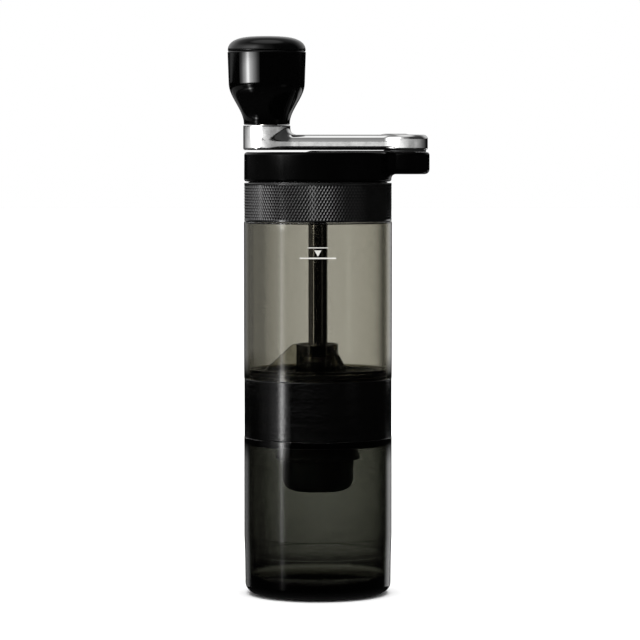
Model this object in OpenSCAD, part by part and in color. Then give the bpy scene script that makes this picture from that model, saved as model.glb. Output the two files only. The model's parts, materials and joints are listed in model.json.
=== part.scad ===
// Hand crank coffee grinder with a folding crank, a clear bean hopper, conical burrs
// and a screw-on grounds jar.
// Millimetres, +Z up. The origin is the centre of the face that the grinder stands on,
// the burr axis is the Z axis, and the crank's pivot tab points along +X.

/* [Body] */
// Outer diameter of jar, hopper and lid
body_d = 58; // [57:0.5:60]
// Height of the grounds jar under the metal band
jar_h = 61.8; // [58:0.1:80]
// Height of the metal band round the burrs
band_h = 23.1; // [23:0.1:25]
// Visible height of the clear bean hopper
hopper_h = 61.3; // [50:0.1:80]
// Height of the knurled lid ring
ring_h = 15.1; // [14.5:0.1:18]
// Wall thickness of hopper and jar
wall = 2; // [1.8:0.1:2.2]
// Thickness of the jar's base
jar_floor = 4; // [3:0.5:6]

/* [Crank] */
// Height of the crank head
head_h = 11.5; // [11:0.1:14]
// Distance from the burr axis to the fold pivot
pivot_x = 34; // [33:0.5:37]
// Distance from the fold pivot to the knob's axis
arm_len = 54; // [50:0.5:60]
// Thickness of the arm
arm_t = 6; // [5:0.1:7]
// Width of the arm between its two ends
arm_w = 13; // [11:0.5:16]
// Height of the boss under the knob
boss_h = 9.7; // [9:0.1:12]

/* [Knob] */
// Largest diameter of the knob
knob_d = 30.6; // [28:0.2:34]
// Diameter of the knob's neck
neck_d = 18; // [17:0.2:19]
// Height of the knob up to its cap
knob_h = 28.5; // [28:0.1:32]
// Height of the domed cap
cap_h = 5.9; // [5.5:0.1:8]

/* [Burrs] */
// Outer diameter of the ring burr
burr_d = 38; // [37.6:0.1:38]
// Number of fine teeth on each burr
fine_teeth = 32; // [24:1:36]
// Number of coarse feed flutes on the cone burr
flutes = 6; // [4:1:7]
// Axial burr travel for one turn of the dial
dial_pitch = 1; // [0.8:0.1:1.2]
// Detent clicks in one turn of the dial
clicks = 24; // [18:1:30]

/* [Jar thread] */
// Number of thread lugs on the jar
lugs = 3; // [2:1:3]
// Rise of the thread in one turn
lead = 12; // [11:0.5:12]

/* [Hidden] */
$fn = 96;
small_fn = 48;
cut = 0.1;               // how far a cutter runs past the face it cuts
run_gap = 0.05;          // radial clearance of a turning fit

body_r = body_d / 2;

// Heights of the joints between the outer parts
foot_gap = 0.5;
jar_top = jar_h;
band_top = jar_top + band_h;
hopper_top = band_top + hopper_h;
ring_z = hopper_top + 0.2;
ring_top = hopper_top + ring_h;
head_z = ring_top + 0.5;
head_top = head_z + head_h;
washer_t = 0.8;
arm_z = head_top + washer_t;
arm_top = arm_z + arm_t;
boss_top = arm_z + boss_h;
knob_z = boss_top + 0.2;
knob_top = knob_z + knob_h;

// Jar neck and its thread
neck_h = 8.8;
neck_top = jar_top + neck_h;
neck_r = body_r - 3.4;
neck_in = body_r - 5.6;
lug_t = 1.5;
lug_h = 0.9;
jar_lug_span = 44;
ramp_span = 60;
jar_lug_z = jar_top + 5.7;
ramp_z = jar_lug_z - lead / lugs / 2;

// Burr housing
house_r = body_r - 0.85;
house_in = body_r - 2;
web_z = neck_top + 1.8;
web_t = 2.4;
well_z = jar_top + 2.2;
well_r = burr_d / 2 + 3.4;
well_in = burr_d / 2 + 0.05;
burr_top = well_z + 16.5;
spider_z = band_top - 1.3;
spider_t = 2;
spider_r = 23.6;
collar_top = band_top + 3.9;
collar_r = body_r - wall - 0.2;
collar_in = collar_r - 1.4;
seal_z = band_top + 1.9;
seal_wire_r = 0.65;

// Bearing hub and its two ball bearings
hub_r = 7.9;
hub_top = band_top + 13.5;
bearing_r = 6;
bearing_bore_r = 3;
bearing_h = 4;
upper_bearing_z = hub_top - 5;
lower_bearing_z = upper_bearing_z - 6;
ball_r = 0.79;
ball_ring_r = 4.5;
balls = 7;
fins = 3;
fin_t = 1.8;

// Drive shaft
shaft_r = 3.75;
shaft_end = jar_top - 18.6;
thread_top = jar_top - 7.1;
thread_r = 2.5;
journal_z = lower_bearing_z - 2.6;
clip_z = lower_bearing_z - 1.25;
clip_t = 1.2;
washer_z = clip_z - 1.1;
shaft_hex_r = 3.5;
hex_z = hopper_top + 1.6;
shaft_top = hopper_top + 17.8;

// Cone burr, carrier and adjusting dial
cone_z = jar_top + 0.4;
cone_top = band_top - 1.5;
spring_seat = cone_top - 9.4;
carrier_z = jar_top - 8.6;
carrier_r = 16.5;
dial_top = carrier_z - 0.2;
dial_z = dial_top - 12.4;
dial_r = 14.1;
detent_r = 9;
detent_ball_r = 1.2;
nut_r = 5.5;

// Lid, hub and crank head
neck2_h = 8.3;
neck2_r = body_r - 1.5;
neck2_in = body_r - 3.1;
lid_in = body_r - 1.2;
lid_web_z = hopper_top + 10.3;
lid_web_t = 2.5;
bush_r = 9.5;
drive_hub_r = 7.5;
drive_hub_z = hopper_top + 2.2;
hub_flange_z = head_z + 2.7;
hub_flange_t = 2;
hub_flange_r = 13;
hub_screw_r = 10.3;
head_r = body_r - 0.1;
head_draft = 0.25;
tab_r = 9.8;
tab_t = 8.6;
tab_z = head_top - tab_t;
pin_r = 4;
retainer_z = tab_z + 1.6;
pocket_top = tab_z + 2.7;

// Arm and knob
knob_x = pivot_x - arm_len;
arm_end_r = 9;
boss_r = 9.25;
axle_r = 4;
axle_top = knob_z + 21.2;
grip_r = knob_d / 2;

// ---------- shared shapes ----------

// Ring between two radii, from z0 up to z1
module ring(r_out, r_in, z0, z1) {
    translate([0, 0, z0])
        difference() {
            cylinder(r = r_out, h = z1 - z0);
            translate([0, 0, -cut]) cylinder(r = r_in, h = z1 - z0 + 2 * cut);
        }
}

// Round bar from z0 up to z1
module bar(r, z0, z1, sides = $fn) {
    translate([0, 0, z0]) cylinder(r = r, h = z1 - z0, $fn = sides);
}

// Half section of a round body whose lower outer corner is rounded
module cup_section(r, z0, z1, corner) {
    translate([0, z0 + corner]) square([r, z1 - z0 - corner]);
    translate([0, z0]) square([r - corner, corner]);
    translate([r - corner, z0 + corner]) circle(corner);
}

// Half section of a round body whose upper outer corner is rounded
module lid_section(r, z0, z1, corner) {
    translate([0, z0]) square([r, z1 - z0 - corner]);
    translate([0, z1 - corner]) square([r - corner, corner]);
    translate([r - corner, z1 - corner]) circle(corner);
}

// Children repeated evenly round the Z axis
module around(count, first = 0) {
    for (i = [0 : count - 1])
        rotate([0, 0, first + i * 360 / count]) children();
}

// One thread lug: a short piece of ring, tilted to the thread's rise
module lug(r_in, r_out, z, span) {
    mean_r = (r_in + r_out) / 2;
    tilt = atan(lead / (2 * PI * mean_r));
    reach = r_out + 5;
    half = span / 2;
    intersection() {
        ring(r_out, r_in, z - 3, z + 3);
        translate([0, 0, z]) rotate([tilt, 0, 0]) cube([3 * reach, 3 * reach, lug_t], center = true);
        translate([0, 0, z - 4])
            linear_extrude(8)
                polygon([[0, 0], reach * [cos(half), -sin(half)],
                         [reach, 0], reach * [cos(half), sin(half)]]);
    }
}

// Pan head screw, its head at the bottom and its shank pointing up from z
module screw_up(z, shank_r, shank_h, head_r, head_t) {
    difference() {
        union() {
            bar(shank_r, z, z + shank_h, small_fn);
            bar(head_r, z - head_t, z, small_fn);
        }
        bar(head_r * 0.5, z - head_t - cut, z - head_t * 0.45, 6);
    }
}

// ---------- grounds jar ----------

module grounds_jar() {
    taper_r = body_r - 0.3;
    floor_z = foot_gap + jar_floor;
    inner_r = body_r - wall;
    ease_low = jar_top - 2.6;
    ease_high = jar_top - 0.3;
    color("dimgray", 0.7) {
        difference() {
            union() {
                rotate_extrude()
                    difference() {
                        union() {
                            cup_section(taper_r, foot_gap, 16, 4.2);
                            polygon([[0, 16], [taper_r, 16], [body_r, 23], [body_r, jar_top], [0, jar_top]]);
                            square([neck_r, neck_top]);
                        }
                        square([body_r, foot_gap]);
                        cup_section(inner_r, floor_z, ease_low + 0.1, 4.5);
                        polygon([[0, ease_low], [inner_r, ease_low], [neck_in, ease_high],
                                 [neck_in, neck_top + 1], [0, neck_top + 1]]);
                    }
                around(lugs) lug(neck_r - 0.5, neck_r + lug_h, jar_lug_z, jar_lug_span);
            }
            bar(22.1, 0, foot_gap + 1.1);
        }
    }
}

module foot_pad() {
    color("black") {
        difference() {
            bar(22, 0, foot_gap + 1);
            ring(16, 14.8, -cut, foot_gap);
        }
    }
}

module jar_gasket() {
    color("dimgray") ring(neck_r + 0.2, neck_in - 0.2, neck_top + 0.1, web_z - 0.1);
}

// ---------- burr housing and hopper ----------

module burr_housing() {
    color("#151515") {
        difference() {
            union() {
                rotate_extrude()
                    union() {
                        translate([house_in, jar_top + 0.4]) square([house_r - house_in, band_h - 0.4]);
                        translate([well_in, well_z]) square([well_r - well_in, spider_z - well_z]);
                        translate([well_r - 1, web_z]) square([house_in - well_r + 2, web_t]);
                        polygon([[well_in, spider_z], [well_in, burr_top],
                                 [house_in + 0.5, burr_top + 0.9], [house_in + 0.5, band_top],
                                 [spider_r + 0.1, band_top], [spider_r + 0.1, spider_z]]);
                    }
                around(lugs) lug(neck_r + lug_h - 0.4, house_in + 0.3, ramp_z, ramp_span);
            }
            around(3, 60) translate([burr_d / 2 + 1.7, 0, 0]) bar(0.95, well_z - cut, well_z + 5.5, small_fn);
            around(3) translate([spider_r - 2.2, 0, 0]) bar(0.8, spider_z - 5, spider_z + cut, small_fn);
        }
    }
}

module band_sleeve() {
    color("#0c0c0c") ring(body_r - 0.1, house_r + 0.02, jar_top + 0.1, band_top - 0.1);
}

module bean_hopper() {
    inner_r = body_r - wall;
    ease = 0.6;
    color("gray", 0.5)
        rotate_extrude()
            difference() {
                union() {
                    translate([0, band_top]) square([body_r, hopper_h]);
                    square([neck2_r, hopper_top + neck2_h]);
                }
                square([body_r + 1, band_top]);
                square([inner_r, hopper_top - ease]);
                polygon([[0, hopper_top - ease - 0.1], [inner_r, hopper_top - ease - 0.1],
                         [inner_r, hopper_top - ease], [neck2_in, hopper_top + ease],
                         [neck2_in, hopper_top + neck2_h + 1], [0, hopper_top + neck2_h + 1]]);
            }
}

module hopper_seal() {
    color("darkslategray")
        rotate_extrude()
            translate([collar_r - seal_wire_r + 0.15, seal_z]) circle(seal_wire_r, $fn = small_fn);
}

// Bearing hub on three fins, moulded with the collar that the hopper slides over
module bearing_spider() {
    lip_z = lower_bearing_z - 1;
    foot_z = spider_z + spider_t;
    seat_z = band_top + 0.03;
    slope_r = spider_r - 0.4;
    color("dimgray", 0.6) {
        difference() {
            union() {
                rotate_extrude()
                    difference() {
                        polygon([[well_in + 0.5, spider_z], [spider_r, spider_z], [spider_r, seat_z],
                                 [collar_r, seat_z], [collar_r, collar_top], [collar_in, collar_top],
                                 [slope_r, foot_z + 0.8], [slope_r, foot_z], [well_in + 0.5, foot_z]]);
                        translate([collar_r - 1.3, seal_z - 0.8]) square([2, 1.6]);
                    }
                bar(hub_r, lip_z, hub_top);
                around(fins, 60)
                    rotate([90, 0, 0])
                        translate([0, 0, -fin_t / 2])
                            linear_extrude(fin_t)
                                polygon([[hub_r - 1.5, hub_top - 0.2], [hub_r + 2.1, hub_top - 0.2],
                                         [spider_r - 0.3, foot_z], [spider_r - 0.3, spider_z + 0.2],
                                         [well_in + 0.7, spider_z + 0.2], [hub_r - 1.5, lip_z + 0.1]]);
            }
            bar(bearing_r, lower_bearing_z, hub_top + cut);
            bar(4.8, lip_z - cut, lower_bearing_z + cut);
            around(3) translate([spider_r - 2.2, 0, 0]) bar(1.1, spider_z - cut, foot_z + cut, small_fn);
        }
    }
}

module spider_screws() {
    color("silver")
        around(3)
            translate([spider_r - 2.2, 0, 0])
                rotate([180, 0, 0])
                    screw_up(-(spider_z + spider_t), 0.75, 6, 1.6, 1);
}

// Ring burr: a flanged ring whose bore is a slanted row of teeth
module outer_burr() {
    r = burr_d / 2;
    mouth = r - 5.8;
    throat = r - 4.6;
    base = r - 2.7;
    color("lightsteelblue") {
        difference() {
            rotate_extrude()
                polygon([[r, burr_top - 0.4], [mouth + 1.6, burr_top - 0.4], [mouth, burr_top - 2.2],
                         [throat, well_z + 6], [base, well_z - 2], [well_r - 0.2, well_z - 2],
                         [well_r - 0.2, well_z], [r, well_z]]);
            around(fine_teeth)
                translate([base - 0.1, 0, well_z - 3])
                    rotate([16, -13.5, 0])
                        rotate([0, 0, 45]) cube([0.95, 0.95, 11]);
            around(fine_teeth / 2)
                translate([throat + 0.15, 0, well_z + 4])
                    rotate([-14, -5, 0])
                        rotate([0, 0, 45]) cube([1.2, 1.2, 14]);
            around(3, 60) translate([r + 1.7, 0, 0]) bar(1.15, well_z - 2 - cut, well_z + cut, small_fn);
        }
    }
}

module burr_screws() {
    color("silver")
        around(3, 60)
            translate([burr_d / 2 + 1.7, 0, 0]) screw_up(well_z - 2, 0.9, 7, 1.6, 0.9);
}

// ---------- ball bearings ----------

module bearing_outer_rings() {
    color("silver")
        for (z = [lower_bearing_z, upper_bearing_z])
            difference() {
                ring(bearing_r - 0.02, 5.1, z, z + bearing_h);
                translate([0, 0, z + bearing_h / 2])
                    rotate_extrude() translate([ball_ring_r, 0]) circle(ball_r + 0.06, $fn = small_fn);
            }
}

module bearing_inner_rings() {
    color("silver")
        for (z = [lower_bearing_z, upper_bearing_z])
            difference() {
                ring(3.9, bearing_bore_r, z, z + bearing_h);
                translate([0, 0, z + bearing_h / 2])
                    rotate_extrude() translate([ball_ring_r, 0]) circle(ball_r + 0.06, $fn = small_fn);
            }
}

module ball_places() {
    for (z = [lower_bearing_z, upper_bearing_z])
        around(balls) translate([ball_ring_r, 0, z + bearing_h / 2]) children();
}

module bearing_balls() {
    color("gainsboro") ball_places() sphere(ball_r, $fn = small_fn);
}

module bearing_cages() {
    color("goldenrod")
        difference() {
            for (z = [lower_bearing_z, upper_bearing_z])
                ring(ball_ring_r + 0.25, ball_ring_r - 0.25, z + 0.9, z + bearing_h - 0.9);
            ball_places() sphere(ball_r + 0.05, $fn = small_fn);
        }
}

module bearing_spacer() {
    color("gray") ring(bearing_r - 0.05, 5.2, lower_bearing_z + bearing_h, upper_bearing_z);
}

// ---------- drive shaft ----------

// A long steel shaft: thread and hexagon below the bearings, drive hexagon on top
module drive_shaft() {
    color("silver") {
        difference() {
            union() {
                bar(thread_r, shaft_end, thread_top);
                bar(bearing_bore_r - 0.02, thread_top, journal_z, 6);
                bar(bearing_bore_r - 0.02, journal_z, upper_bearing_z + bearing_h);
                bar(shaft_r, upper_bearing_z + bearing_h, hex_z);
                bar(shaft_hex_r, hex_z, shaft_top, 6);
            }
            ring(bearing_bore_r + 1, 2.5, clip_z - 0.05, clip_z + clip_t + 0.05);
        }
    }
}

module shaft_clip() {
    color("dimgray") {
        difference() {
            ring(4.5, 2.55, clip_z, clip_z + clip_t);
            translate([0, -1.7, clip_z - cut]) cube([6, 3.4, clip_t + 2 * cut]);
        }
    }
}

module thrust_washer() {
    color("silver") ring(5.6, bearing_bore_r + run_gap, washer_z, clip_z - 0.05);
}

// Points of one round cross-section of a coil, at turn angle a
function wire_ring(coil_r, wire_r, a, z, sides) = [
    for (k = [0 : sides - 1])
        let (b = 360 * k / sides, r = coil_r + wire_r * cos(b))
            [r * cos(a), r * sin(a), z + wire_r * sin(b)]
];

// Closed skin over rings of points: sides between the rings, and two flat ends
function skin_faces(rings, sides) = concat(
    [[for (k = [0 : sides - 1]) k]],
    [for (i = [0 : rings - 2]) for (k = [0 : sides - 1])
        [i * sides + k, (i + 1) * sides + k, (i + 1) * sides + (k + 1) % sides, i * sides + (k + 1) % sides]],
    [[for (k = [sides - 1 : -1 : 0]) (rings - 1) * sides + k]]
);

// Compression spring with closed ends, from z0 up to z1
module coil_spring(coil_r, wire_r, z0, z1, turns, steps, sides) {
    rings = turns * steps + 1;
    rise = z1 - z0 - 4.2 * wire_r;
    points = [
        for (i = [0 : rings - 1])
            let (t = i / steps, live = min(max(t - 1, 0), turns - 2) / (turns - 2),
                 closed = min(t, 1) + max(t - turns + 1, 0))
                each wire_ring(coil_r, wire_r, 360 * t,
                               z0 + wire_r + live * (rise - 2.2 * wire_r) + closed * 2.2 * wire_r, sides)
    ];
    polyhedron(points, skin_faces(rings, sides), convexity = 8);
}

module burr_spring() {
    color("silver") coil_spring(4.35, 0.45, spring_seat, washer_z, 6, 20, 8);
}

// ---------- cone burr and its carrier ----------

module inner_burr() {
    base = burr_d / 2 - 3.6;
    waist = burr_d / 2 - 5.6;
    tip = 7.2;
    color("lightsteelblue") {
        difference() {
            rotate_extrude()
                polygon([[0, cone_z], [base - 0.6, cone_z], [base, cone_z + 0.9], [base, cone_z + 1.6],
                         [waist, cone_z + 8], [tip, cone_top], [0, cone_top]]);
            around(fine_teeth, 4)
                translate([base + 0.15, 0, cone_z + 0.8])
                    rotate([-16, -17.5, 0])
                        rotate([0, 0, 45]) cube([0.9, 0.9, 10], center = false);
            around(flutes)
                translate([waist + 2.1, 0, cone_z + 6])
                    rotate([-32, -22, 0]) bar(2.9, 0, 24, small_fn);
            bar(bearing_bore_r + run_gap, cone_z - cut, cone_top + cut, 6);
            bar(5.3, spring_seat, cone_top + cut);
            around(3) translate([7.6, 0, 0]) bar(0.8, cone_z - cut, cone_z + 4.5, small_fn);
        }
    }
}

// Flared cup under the cone burr that throws the grounds outward
module burr_carrier() {
    color("#2a2a28") {
        difference() {
            rotate_extrude()
                polygon([[0, cone_z], [12.9, cone_z], [carrier_r, carrier_z + 1], [carrier_r, carrier_z],
                         [0, carrier_z]]);
            bar(bearing_bore_r + run_gap, carrier_z - cut, cone_z + cut, 6);
            ring(12.2, 6.3, carrier_z - cut, carrier_z + 1);
            ring(14.9, 13, carrier_z - cut, carrier_z + 2.2);
            around(3) translate([7.6, 0, 0]) {
                bar(1.05, carrier_z, cone_z + cut, small_fn);
                bar(2, carrier_z + 1 - cut, carrier_z + 3.2, small_fn);
            }
        }
    }
}

module carrier_screws() {
    color("silver")
        around(3) translate([7.6, 0, 0]) screw_up(carrier_z + 3.15, 0.75, 9, 1.8, 1.2);
}

// Steel ring whose dimples the dial's balls click into
module detent_ring() {
    color("silver")
        difference() {
            ring(12.1, 6.4, carrier_z + 0.05, carrier_z + 0.95);
            around(clicks)
                translate([detent_r, 0, carrier_z - 0.35])
                    cylinder(r1 = 1.1, r2 = 0.2, h = 0.9, $fn = small_fn);
        }
}

// ---------- adjusting dial ----------

module adjust_dial() {
    color("#0e0e0e") {
        difference() {
            rotate_extrude()
                union() {
                    cup_section(dial_r - 0.25, dial_z, dial_top - 2, 5.8);
                    polygon([[0, dial_top - 3], [dial_r - 0.25, dial_top - 4], [dial_r, dial_top - 0.6],
                             [dial_r - 0.4, dial_top], [0, dial_top]]);
                }
            bar(nut_r + 0.02, dial_z + 2.6, dial_top + cut);
            bar(6.6, dial_z - cut, dial_z + 2.7);
            around(2)
                translate([detent_r, 0, 0])
                    bar(detent_ball_r + 0.05, dial_top - 5.5, dial_top + cut, small_fn);
            translate([10.4, 0, dial_z - cut]) bar(0.7, 0, 0.5, small_fn);
        }
    }
}

module dial_nut() {
    color("goldenrod") ring(nut_r, thread_r + run_gap, dial_z + 2.65, dial_top - 0.1);
}

module detent_balls() {
    color("gainsboro")
        around(2)
            translate([detent_r, 0, dial_top - detent_ball_r + 0.15])
                sphere(detent_ball_r, $fn = small_fn);
}

module detent_springs() {
    color("silver")
        around(2)
            translate([detent_r, 0, 0])
                coil_spring(0.8, 0.16, dial_top - 5.5, dial_top - 2 * detent_ball_r + 0.1, 6, 12, 6);
}

// ---------- lid ----------

module lid_ring() {
    color("#1c1c1c") {
        rotate_extrude()
            difference() {
                union() {
                    polygon([[0, ring_z + 0.3], [body_r - 0.45, ring_z], [body_r - 0.15, ring_z + 0.3],
                             [body_r - 0.15, ring_top - 0.3], [body_r - 0.45, ring_top], [0, ring_top]]);
                    translate([0, drive_hub_z + 1.4]) square([bush_r + 2.4, 8]);
                }
                square([bush_r + 0.02, ring_top + 1]);
                difference() {
                    square([lid_in, lid_web_z]);
                    square([bush_r + 2.4, lid_web_z]);
                }
                square([bush_r + 2.4, drive_hub_z + 1.4]);
                translate([bush_r + 2.4, lid_web_z + lid_web_t])
                    square([body_r - 6.4 - bush_r, ring_top - lid_web_z]);
            }
    }
}

module lid_seal() {
    color("darkslategray") ring(neck2_r, neck2_in + 0.2, hopper_top + neck2_h + 0.1, lid_web_z - 0.02);
}

// Flanged plain bearing that the drive hub turns in
module lid_bush() {
    color("ivory") {
        ring(bush_r, drive_hub_r + run_gap, drive_hub_z + 1.4, ring_top - 0.1);
    }
}

// ---------- crank head ----------

module tab_outline(grow = 0) {
    union() {
        translate([pivot_x, 0]) circle(tab_r + grow);
        polygon([[10, -19.5 - grow], [26, -13 - grow], [pivot_x, -tab_r - grow], [pivot_x, tab_r + grow],
                 [26, 13 + grow], [10, 19.5 + grow]]);
    }
}

// Round cap with the pivot tab on one side, hollow underneath and ribbed
module crank_head() {
    rim = 2.4;
    roof = 2.8;
    color("#0a0a0a") {
        difference() {
            union() {
                rotate_extrude()
                    union() {
                        lid_section(head_r - head_draft, head_top - 4, head_top, 1.2);
                        polygon([[0, head_z], [head_r - 0.8, head_z], [head_r, head_z + 0.8],
                                 [head_r - head_draft, head_top - 3.9], [0, head_top - 3.9]]);
                    }
                translate([0, 0, tab_z]) linear_extrude(tab_t - 0.02) tab_outline();
            }
            difference() {
                bar(head_r - head_draft - rim, head_z - cut, head_top - roof);
                bar(hub_flange_r + 0.6, hub_flange_z + hub_flange_t, head_top);
                around(6, 30) translate([hub_flange_r + 0.4, -0.7, head_z + 3]) cube([14.6, 1.4, head_h]);
                intersection() {
                    translate([pivot_x, 0, 0]) bar(12, tab_z, head_top);
                    bar(head_r, tab_z, head_top);
                }
            }
            around(3) translate([hub_screw_r, 0, 0]) bar(0.95, hub_flange_z, hub_flange_z + 7, small_fn);
            translate([pivot_x, 0, 0]) {
                bar(pin_r + 1.2, tab_z, head_top + cut);
                bar(6.4, tab_z - cut, pocket_top);
            }
        }
    }
}

// Steel hub screwed under the head: its hexagon socket drives the shaft
module drive_hub() {
    color("gray") {
        difference() {
            union() {
                bar(drive_hub_r, drive_hub_z, hub_flange_z + 0.5);
                bar(hub_flange_r, hub_flange_z, hub_flange_z + hub_flange_t - 0.02);
            }
            bar(shaft_hex_r + 0.1, drive_hub_z - cut, hub_flange_z + hub_flange_t - 1, 6);
            ring(drive_hub_r + 1, drive_hub_r - 0.5, drive_hub_z + 0.5, drive_hub_z + 1.35);
            around(3)
                translate([hub_screw_r, 0, 0])
                    bar(1.3, hub_flange_z - cut, hub_flange_z + hub_flange_t + cut, small_fn);
        }
    }
}

module hub_screws() {
    color("silver")
        around(3) translate([hub_screw_r, 0, 0]) screw_up(hub_flange_z, 0.92, 6.6, 2, 1.2);
}

module hub_clip() {
    color("dimgray")
        difference() {
            ring(drive_hub_r + 1.6, drive_hub_r - 0.45, drive_hub_z + 0.55, drive_hub_z + 1.3);
            translate([0, -2, drive_hub_z]) cube([12, 4, 3]);
        }
}

module pivot_bush() {
    color("ivory")
        translate([pivot_x, 0, 0]) ring(pin_r + 1.18, pin_r + run_gap, pocket_top, head_top - 0.05);
}

// ---------- folding arm ----------

module pivot_washer() {
    color("#202020")
        translate([pivot_x, 0, 0]) ring(8.3, pin_r + run_gap, head_top + 0.05, arm_z - 0.02);
}

module pivot_pin() {
    color("silver")
        translate([pivot_x, 0, 0])
            difference() {
                bar(pin_r, pocket_top - 0.05, arm_z + 3.5);
                bar(1.25, pocket_top - 1, arm_z + 1, small_fn);
            }
}

module pivot_retainer() {
    color("silver") translate([pivot_x, 0, 0]) ring(5.9, 1.4, retainer_z, pocket_top - 0.1);
}

module pivot_screw() {
    color("dimgray") translate([pivot_x, 0, 0]) screw_up(retainer_z, 1.22, 8, 2.6, 1.3);
}

// Flat bar with a round end over the pivot and a tall round boss under the knob
module crank_arm() {
    color("whitesmoke") {
        difference() {
            union() {
                translate([pivot_x, 0, 0])
                    rotate_extrude() lid_section(arm_end_r, arm_z, arm_top, 1.4);
                translate([knob_x, 0, 0])
                    union() {
                        bar(boss_r, arm_z + 0.6, boss_top);
                        translate([0, 0, arm_z]) cylinder(r1 = boss_r - 0.6, r2 = boss_r, h = 0.6);
                    }
                translate([knob_x, -arm_w / 2, arm_z]) cube([arm_len, arm_w, arm_t]);
            }
            translate([pivot_x, 0, 0]) bar(pin_r + 0.02, arm_z - cut, arm_z + 3.6);
            translate([knob_x, 0, 0]) bar(2.5, arm_z + 1.2, boss_top + cut, small_fn);
        }
    }
}

// Shouldered axle that the knob turns on, screwed into the arm's boss
module knob_axle() {
    color("silver") {
        translate([knob_x, 0, 0])
            difference() {
                union() {
                    bar(2.48, arm_z + 1.3, boss_top, small_fn);
                    bar(axle_r, boss_top, axle_top);
                }
                bar(1.3, axle_top - 8, axle_top + cut, small_fn);
            }
    }
}

module axle_washer() {
    color("silver") translate([knob_x, 0, 0]) ring(7, 1.4, axle_top, axle_top + 0.8);
}

module axle_screw() {
    color("dimgray")
        translate([knob_x, 0, 0]) rotate([180, 0, 0]) screw_up(-(axle_top + 0.8), 1.25, 8, 2.6, 1.6);
}

// ---------- knob ----------

// Knob radius at height z: a round neck that swells into a slightly tapered grip
function knob_r(z) =
    let (t = min(max((z - knob_z - 0.5) / 15.5, 0), 1), swell = t * t * (3 - 2 * t),
         flare = max(z - knob_z - 15.5, 0) / 13 * 0.45)
        neck_d / 2 + (grip_r - 0.45 - neck_d / 2) * swell + flare;

module knob_body() {
    steps = 24;
    color("#0b0b0b") {
        translate([knob_x, 0, 0])
            difference() {
                rotate_extrude()
                    polygon(concat([[0, knob_z]],
                                   [for (i = [0 : steps])
                                       let (z = knob_z + knob_h * i / steps) [knob_r(z), z]],
                                   [[0, knob_top]]));
                bar(5.2, knob_z - cut, knob_top + cut);
                bar(6, knob_z - cut, knob_z + 6.1);
                bar(6, axle_top - 6.1, knob_top);
                bar(11.5, axle_top - 0.3, knob_top + cut);
            }
    }
}

// Domed cap, plugged into the top of the knob
module knob_cap() {
    dome_steps = 16;
    r = grip_r - 0.12;
    color("#050505") {
        translate([knob_x, 0, 0])
            difference() {
                rotate_extrude()
                    polygon(concat([[0, knob_top - 3], [11.4, knob_top - 3], [11.4, knob_top + 0.1],
                                    [r - 0.3, knob_top + 0.1]],
                                   [for (i = [0 : dome_steps])
                                       let (a = 90 * i / dome_steps, rise = (cap_h - 0.5) * pow(sin(a), 0.9))
                                           [r * pow(cos(a), 0.58), knob_top + 0.5 + rise]]));
                bar(9.4, knob_top - 3 - cut, knob_top + 1.4);
            }
    }
}

module knob_bushes() {
    color("ivory")
        translate([knob_x, 0, 0]) {
            ring(5.98, axle_r + run_gap, knob_z + 0.1, knob_z + 6);
            ring(5.98, axle_r + run_gap, axle_top - 6, axle_top - 0.1);
        }
}

// ---------- the grinder ----------

grounds_jar();
foot_pad();
jar_gasket();
burr_housing();
band_sleeve();
bean_hopper();
hopper_seal();
bearing_spider();
spider_screws();
outer_burr();
burr_screws();
bearing_outer_rings();
bearing_spacer();
bearing_balls();
bearing_cages();
drive_shaft();
bearing_inner_rings();
shaft_clip();
thrust_washer();
burr_spring();
inner_burr();
burr_carrier();
carrier_screws();
detent_ring();
adjust_dial();
dial_nut();
detent_balls();
detent_springs();
lid_ring();
lid_seal();
lid_bush();
crank_head();
drive_hub();
hub_screws();
hub_clip();
pivot_bush();
crank_arm();
pivot_washer();
pivot_pin();
pivot_retainer();
pivot_screw();
knob_axle();
axle_washer();
axle_screw();
knob_body();
knob_cap();
knob_bushes();
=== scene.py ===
# Hand crank coffee grinder: its looks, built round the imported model. Shapes are in millimetres.
import json
import math

import bpy
import numpy as np
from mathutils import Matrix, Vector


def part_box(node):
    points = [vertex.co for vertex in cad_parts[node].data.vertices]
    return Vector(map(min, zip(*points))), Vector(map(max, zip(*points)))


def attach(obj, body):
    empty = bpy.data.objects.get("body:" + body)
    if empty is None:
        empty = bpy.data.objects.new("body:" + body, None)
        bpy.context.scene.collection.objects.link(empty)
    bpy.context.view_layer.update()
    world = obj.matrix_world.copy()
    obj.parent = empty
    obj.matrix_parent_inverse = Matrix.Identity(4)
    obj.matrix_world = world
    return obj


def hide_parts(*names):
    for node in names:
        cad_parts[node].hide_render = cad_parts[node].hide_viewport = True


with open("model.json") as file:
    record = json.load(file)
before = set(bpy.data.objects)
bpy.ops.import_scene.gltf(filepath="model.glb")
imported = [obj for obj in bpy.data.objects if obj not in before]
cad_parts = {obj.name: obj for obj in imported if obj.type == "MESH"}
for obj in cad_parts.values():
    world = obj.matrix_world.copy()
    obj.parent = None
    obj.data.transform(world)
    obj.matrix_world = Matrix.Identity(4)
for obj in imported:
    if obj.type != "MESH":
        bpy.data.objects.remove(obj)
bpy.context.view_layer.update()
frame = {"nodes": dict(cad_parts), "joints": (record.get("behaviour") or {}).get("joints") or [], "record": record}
MM = 0.001
TAU = 2 * math.pi


def box_mm(node):
    """A CAD node's lowest and highest corner, in millimetres."""
    low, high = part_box(node)
    return np.array(low) / MM, np.array(high) / MM


def joint_mm(name):
    """The point that a joint turns about, in millimetres."""
    for joint in frame["joints"]:
        if joint["name"] == name:
            return np.array(joint["pos_m"]) / MM
    raise KeyError(name)


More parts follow.
